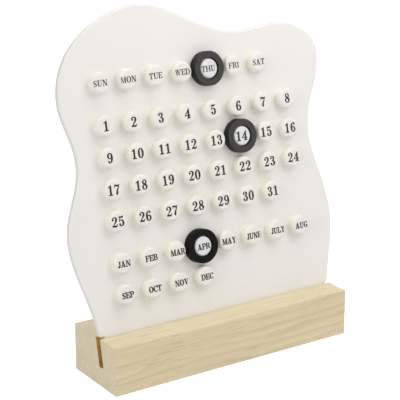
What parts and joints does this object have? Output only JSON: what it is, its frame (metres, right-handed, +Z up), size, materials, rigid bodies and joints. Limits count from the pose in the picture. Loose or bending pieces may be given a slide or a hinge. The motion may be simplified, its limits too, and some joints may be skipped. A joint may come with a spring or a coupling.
{
  "type": "perpetual desk calendar",
  "caption": "Perpetual desk calendar: a wavy white sheet with round date pegs leans back in a slot along a pine block, and black rings mark the day.",
  "frame": {"origin": "centre of the block's underside, the face that rests on the desk", "axes": "+Z up, +X to the right of a person who reads the calendar, +Y away from that person"},
  "size_m": [0.1994, 0.0635, 0.224],
  "materials": {
    "pine": "bare sanded pine",
    "white_sheet": "satin white",
    "cream_peg": "smooth cream white",
    "black": "matte black"
  },
  "bodies": {
    "block": {"pine_block": "pine"},
    "sheet": {"wave_sheet": "white_sheet", "peg_sun": "cream_peg", "peg_mon": "cream_peg", "peg_tue": "cream_peg", "peg_wed": "cream_peg", "peg_thu": "cream_peg", "peg_fri": "cream_peg", "peg_sat": "cream_peg", "peg_date_01": "cream_peg", "peg_date_02": "cream_peg", "peg_date_03": "cream_peg", "peg_date_04": "cream_peg", "peg_date_05": "cream_peg", "peg_date_06": "cream_peg", "peg_date_07": "cream_peg", "peg_date_08": "cream_peg", "peg_date_09": "cream_peg", "peg_date_10": "cream_peg", "peg_date_11": "cream_peg", "peg_date_12": "cream_peg", "peg_date_13": "cream_peg", "peg_date_14": "cream_peg", "peg_date_15": "cream_peg", "peg_date_16": "cream_peg", "peg_date_17": "cream_peg", "peg_date_18": "cream_peg", "peg_date_19": "cream_peg", "peg_date_20": "cream_peg", "peg_date_21": "cream_peg", "peg_date_22": "cream_peg", "peg_date_23": "cream_peg", "peg_date_24": "cream_peg", "peg_date_25": "cream_peg", "peg_date_26": "cream_peg", "peg_date_27": "cream_peg", "peg_date_28": "cream_peg", "peg_date_29": "cream_peg", "peg_date_30": "cream_peg", "peg_date_31": "cream_peg", "peg_jan": "cream_peg", "peg_feb": "cream_peg", "peg_mar": "cream_peg", "peg_apr": "cream_peg", "peg_may": "cream_peg", "peg_june": "cream_peg", "peg_july": "cream_peg", "peg_aug": "cream_peg", "peg_sep": "cream_peg", "peg_oct": "cream_peg", "peg_nov": "cream_peg", "peg_dec": "cream_peg"},
    "weekday_ring": {"weekday_ring": "black"},
    "date_ring": {"date_ring": "black"},
    "month_ring": {"month_ring": "black"}
  },
  "joints": [
    {"name": "sheet_lift", "type": "slide", "parent": "block", "child": "sheet", "axis": [0, 0.2079, 0.9781], "range_m": [0, 0.018]},
    {"name": "weekday_ring_pull", "type": "slide", "parent": "sheet", "child": "weekday_ring", "axis": [0, -0.9781, 0.2079], "range_m": [0, 0.008]},
    {"name": "date_ring_pull", "type": "slide", "parent": "sheet", "child": "date_ring", "axis": [0, -0.9781, 0.2079], "range_m": [0, 0.008]},
    {"name": "month_ring_pull", "type": "slide", "parent": "sheet", "child": "month_ring", "axis": [0, -0.9781, 0.2079], "range_m": [0, 0.008]}
  ]
}
